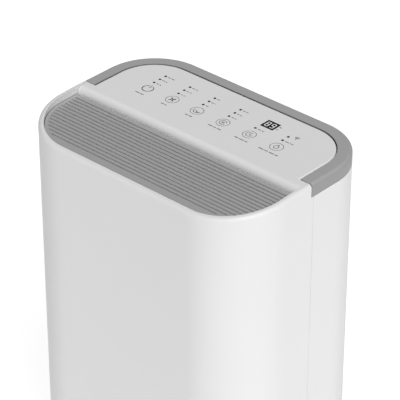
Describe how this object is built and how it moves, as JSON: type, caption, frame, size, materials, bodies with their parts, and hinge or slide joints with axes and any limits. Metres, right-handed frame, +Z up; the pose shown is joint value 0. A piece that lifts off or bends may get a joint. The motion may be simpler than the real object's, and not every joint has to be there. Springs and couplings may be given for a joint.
{
  "type": "dehumidifier",
  "caption": "Upright white domestic dehumidifier with rounded corners, a ribbed outlet louvre in the top, a sloping front rim, a touch control deck and a grey folding carry handle.",
  "frame": {"origin": "on the floor under the middle of the body", "axes": "+Z up, front towards -Y, +X towards the right hand side of someone facing +Y"},
  "size_m": [0.35, 0.235, 0.51],
  "materials": {
    "white_shell": "satin moulded",
    "grey_plastic": "fine satin texture",
    "black_lens": "polished",
    "smoke_lens": "polished",
    "circuit_board": "solder mask",
    "dark_plastic": "moulded",
    "black_rubber": "matte",
    "plated_steel": "zinc plated",
    "black_enamel": "satin enamel",
    "copper": "drawn tube",
    "fin_aluminium": "rolled fin stock",
    "inner_plastic": "moulded",
    "tank_plastic": "satin",
    "foam_white": "foam",
    "filter_net": "woven nylon"
  },
  "bodies": {
    "housing": {"front_shell": "white_shell", "rear_shell": "white_shell", "control_deck": "white_shell", "indicator_lenses": "smoke_lens", "display_window": "black_lens", "display_module": "dark_plastic", "control_board": "circuit_board", "louvre_motor": "plated_steel", "base_pan": "inner_plastic", "rubber_feet": "black_rubber", "foot_screws": "plated_steel", "shell_screws": "plated_steel", "compressor": "black_enamel", "compressor_grommets": "black_rubber", "terminal_cover": "dark_plastic", "accumulator": "black_enamel", "accumulator_strap": "plated_steel", "bay_partition": "inner_plastic", "electrics_box": "dark_plastic", "electrics_cover": "dark_plastic", "power_board": "circuit_board", "run_capacitor": "fin_aluminium", "tank_switch": "dark_plastic", "drain_pan": "inner_plastic", "drain_port": "inner_plastic", "cord_bush": "black_rubber", "evaporator": "fin_aluminium", "evaporator_bends": "copper", "condenser": "fin_aluminium", "condenser_bends": "copper", "discharge_pipe": "copper", "suction_pipe": "copper", "fan_scroll": "foam_white", "scroll_inlet": "foam_white", "fan_bulkhead": "plated_steel", "fan_motor": "plated_steel", "air_duct": "foam_white", "humidity_sensor": "dark_plastic"},
    "handle": {"carry_handle": "grey_plastic", "handle_pins": "plated_steel"},
    "louvre": {"outlet_louvre": "grey_plastic", "louvre_sector": "dark_plastic"},
    "pinion": {"louvre_pinion": "inner_plastic"},
    "fan": {"fan_wheel": "inner_plastic", "fan_blades": "inner_plastic", "fan_ring": "inner_plastic", "fan_shaft": "plated_steel"},
    "grille": {"inlet_grille": "white_shell", "filter_frame": "dark_plastic", "filter_mesh": "filter_net"},
    "tank": {"water_tank": "tank_plastic", "tank_lid": "inner_plastic", "float_pin": "plated_steel"},
    "float": {"tank_float": "foam_white"},
    "plug": {"drain_plug": "black_rubber"}
  },
  "joints": [
    {"name": "handle_fold", "type": "hinge", "parent": "housing", "child": "handle", "pos_m": [0, 0.0056, 0.506], "axis": [1, 0, 0], "range_deg": [0, 90]},
    {"name": "louvre_swing", "type": "hinge", "parent": "housing", "child": "louvre", "pos_m": [0, -0.0189, 0.4988], "axis": [-1, 0, 0], "range_deg": [0, 45]},
    {"name": "pinion_spin", "type": "hinge", "parent": "housing", "child": "pinion", "pos_m": [0.136, -0.0189, 0.4745], "axis": [-1, 0, 0], "range_deg": [-135, 0]},
    {"name": "fan_spin", "type": "hinge", "parent": "housing", "child": "fan", "pos_m": [0, 0, 0.322], "axis": [0, 1, 0], "continuous": true},
    {"name": "grille_slide", "type": "slide", "parent": "housing", "child": "grille", "axis": [0, 1, 0], "range_m": [0, 0.04]},
    {"name": "tank_slide", "type": "slide", "parent": "housing", "child": "tank", "axis": [0, 1, 0], "range_m": [0, 0.13]},
    {"name": "float_swing", "type": "hinge", "parent": "tank", "child": "float", "pos_m": [0, 0.006, 0.12], "axis": [1, 0, 0], "range_deg": [-20, 25]},
    {"name": "plug_slide", "type": "slide", "parent": "housing", "child": "plug", "axis": [0, 1, 0], "range_m": [0, 0.03]}
  ],
  "couplings": [
    {"joint": "pinion_spin", "follows": "louvre_swing", "ratio": -3}
  ]
}
